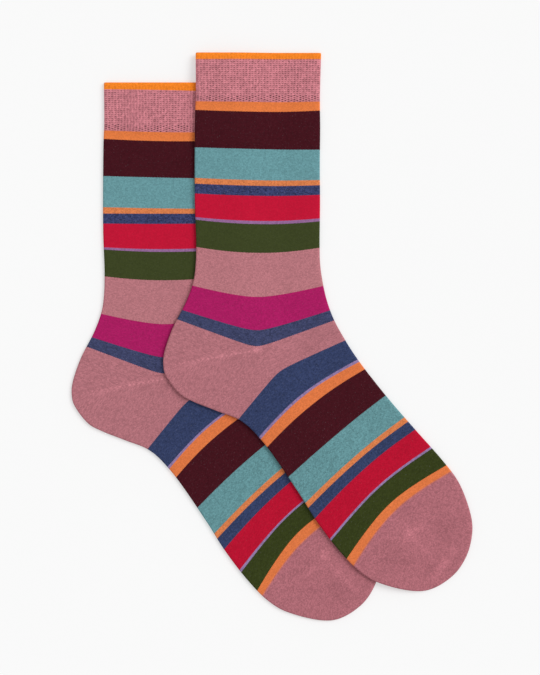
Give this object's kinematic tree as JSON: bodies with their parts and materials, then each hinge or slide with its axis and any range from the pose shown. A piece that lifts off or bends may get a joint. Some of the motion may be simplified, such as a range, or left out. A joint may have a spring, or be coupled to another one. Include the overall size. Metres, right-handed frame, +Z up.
{
  "type": "pair of socks",
  "caption": "Pair of knitted mid-calf socks laid flat, one over the other, with ribbed cuffs, striped legs and feet, plain heels and toes.",
  "frame": {"origin": "on the surface that the socks lie on, under the middle of the pair's outline", "axes": "+X from the heels to the toes, +Y up the legs to the cuffs, +Z up from the surface"},
  "size_m": [0.2672, 0.3788, 0.0067],
  "materials": {
    "striped_knit": "fine matt cotton knit in uneven stripes of rose pink, orange, dark wine, teal, navy, red, lilac, dark green and magenta; mesh ribbed cuff, plain rose heel and toe"
  },
  "bodies": {
    "root": {"front_sock": "striped_knit", "back_sock": "striped_knit"}
  },
  "joints": []
}
